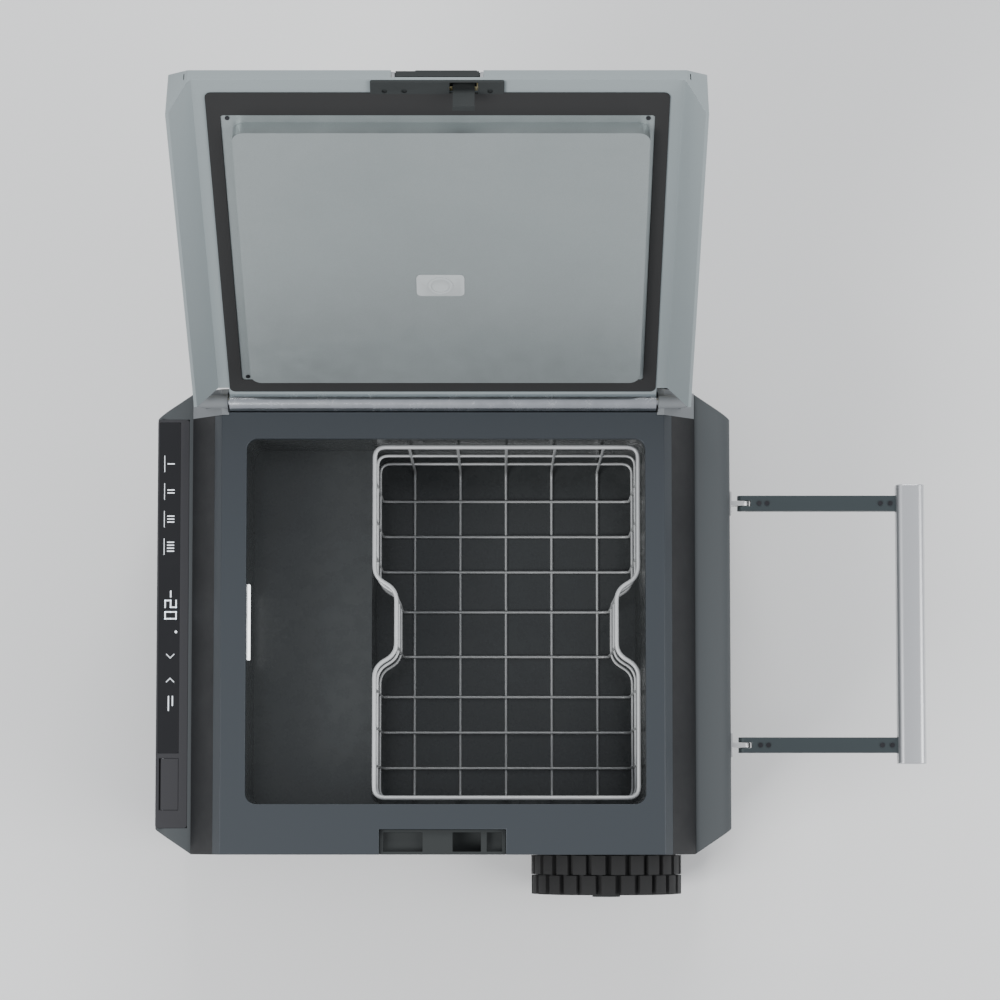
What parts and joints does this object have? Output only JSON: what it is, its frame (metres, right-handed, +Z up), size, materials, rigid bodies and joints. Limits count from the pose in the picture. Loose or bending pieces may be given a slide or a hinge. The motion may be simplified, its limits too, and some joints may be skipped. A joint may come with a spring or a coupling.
{
  "type": "compressor cooler fridge",
  "caption": "Portable wheeled compressor cooler fridge with a hinged lid, wire basket and swing handle.",
  "frame": {"origin": "on the ground under the middle of the body, with the feet and tyres standing on z=0", "axes": "+X towards the pull handle, -Y towards the latch, +Z up"},
  "size_m": [0.7775, 0.7622, 0.7681],
  "materials": {
    "casing": "satin powder coat",
    "base_grey": "satin",
    "pod_plastic": "fine grain",
    "bezel_black": "matte",
    "panel_glass": "gloss",
    "circuit_board": "satin",
    "steel": "satin",
    "tank_silver": "metallic gloss",
    "tank_grey": "satin gloss",
    "foam": "matte",
    "aluminium_sheet": "satin",
    "lens": "frosted",
    "compressor_black": "gloss",
    "rubber": "matte",
    "copper": "bare",
    "latch_black": "matte",
    "hinge_grey": "matte",
    "hinge_silver": "brushed",
    "lid_shell": "fine grain",
    "screw_dark": "dark",
    "wire_grey": "coated wire",
    "arm_grey": "satin",
    "grip_aluminium": "anodised",
    "tyre": "matte"
  },
  "bodies": {
    "body": {"outer_shell": "casing", "top_rim": "casing", "base_pan": "base_grey", "axle_blocks": "base_grey", "compressor_plate": "base_grey", "left_pod": "pod_plastic", "right_pod": "pod_plastic", "control_bezel": "bezel_black", "port_sockets": "bezel_black", "vent_grille_front": "bezel_black", "vent_grille_rear": "bezel_black", "fan_frame": "bezel_black", "control_glass": "panel_glass", "display_board": "circuit_board", "controller_board": "circuit_board", "flap_pin": "steel", "hinge_rod": "steel", "front_axle": "steel", "rear_axle": "steel", "handle_pivots": "steel", "inner_tank": "tank_grey", "foam_body": "foam", "evaporator": "aluminium_sheet", "condenser": "aluminium_sheet", "light_lens": "lens", "compressor": "compressor_black", "compressor_mounts": "rubber", "feet": "rubber", "suction_line": "copper", "discharge_line": "copper", "latch_keeper": "latch_black", "hinge_brackets": "hinge_grey"},
    "lid": {"lid_shell": "lid_shell", "lid_foam": "foam", "lid_liner": "tank_silver", "lid_boss": "tank_silver", "lid_screws": "screw_dark", "lid_seal": "rubber", "latch_plate": "latch_black", "latch_pin": "steel", "latch_spring": "steel", "hinge_barrel": "hinge_silver"},
    "latch": {"latch_lever": "latch_black"},
    "basket": {"basket_rim": "wire_grey", "basket_cage": "wire_grey"},
    "handle": {"handle_arms": "arm_grey", "handle_grip": "grip_aluminium", "arm_rivets": "screw_dark"},
    "front_wheel": {"front_tyre": "tyre", "front_hub": "pod_plastic", "front_cap": "latch_black"},
    "rear_wheel": {"rear_tyre": "tyre", "rear_hub": "pod_plastic", "rear_cap": "latch_black"},
    "fan": {"fan_rotor": "bezel_black"},
    "flap": {"port_flap": "bezel_black"}
  },
  "joints": [
    {"name": "lid_hinge", "type": "hinge", "parent": "body", "child": "lid", "pos_m": [0, 0.219, 0.391], "axis": [-1, 0, 0], "range_deg": [-124, 0]},
    {"name": "latch_pivot", "type": "hinge", "parent": "lid", "child": "latch", "pos_m": [0, 0.47414, 0.74602], "axis": [1, 0, 0], "range_deg": [-8, 0], "stiffness_Nm_per_rad": 0.5, "springref_deg": 5.73},
    {"name": "basket_lift", "type": "slide", "parent": "body", "child": "basket", "axis": [0, 0, 1], "range_m": [0, 0.3]},
    {"name": "handle_swing", "type": "hinge", "parent": "body", "child": "handle", "pos_m": [0.304, 0, 0.322], "axis": [0, 1, 0], "range_deg": [0, 90]},
    {"name": "front_wheel_spin", "type": "hinge", "parent": "body", "child": "front_wheel", "pos_m": [0.171, -0.256, 0.08], "axis": [0, 1, 0], "continuous": true},
    {"name": "rear_wheel_spin", "type": "hinge", "parent": "body", "child": "rear_wheel", "pos_m": [0.171, 0.256, 0.08], "axis": [0, 1, 0], "continuous": true},
    {"name": "fan_spin", "type": "hinge", "parent": "body", "child": "fan", "pos_m": [-0.176, 0.21, 0.11], "axis": [0, 1, 0], "continuous": true},
    {"name": "flap_hinge", "type": "hinge", "parent": "body", "child": "flap", "pos_m": [-0.2818, -0.162, 0.3429], "axis": [0, 1, 0], "range_deg": [-100, 0]}
  ]
}
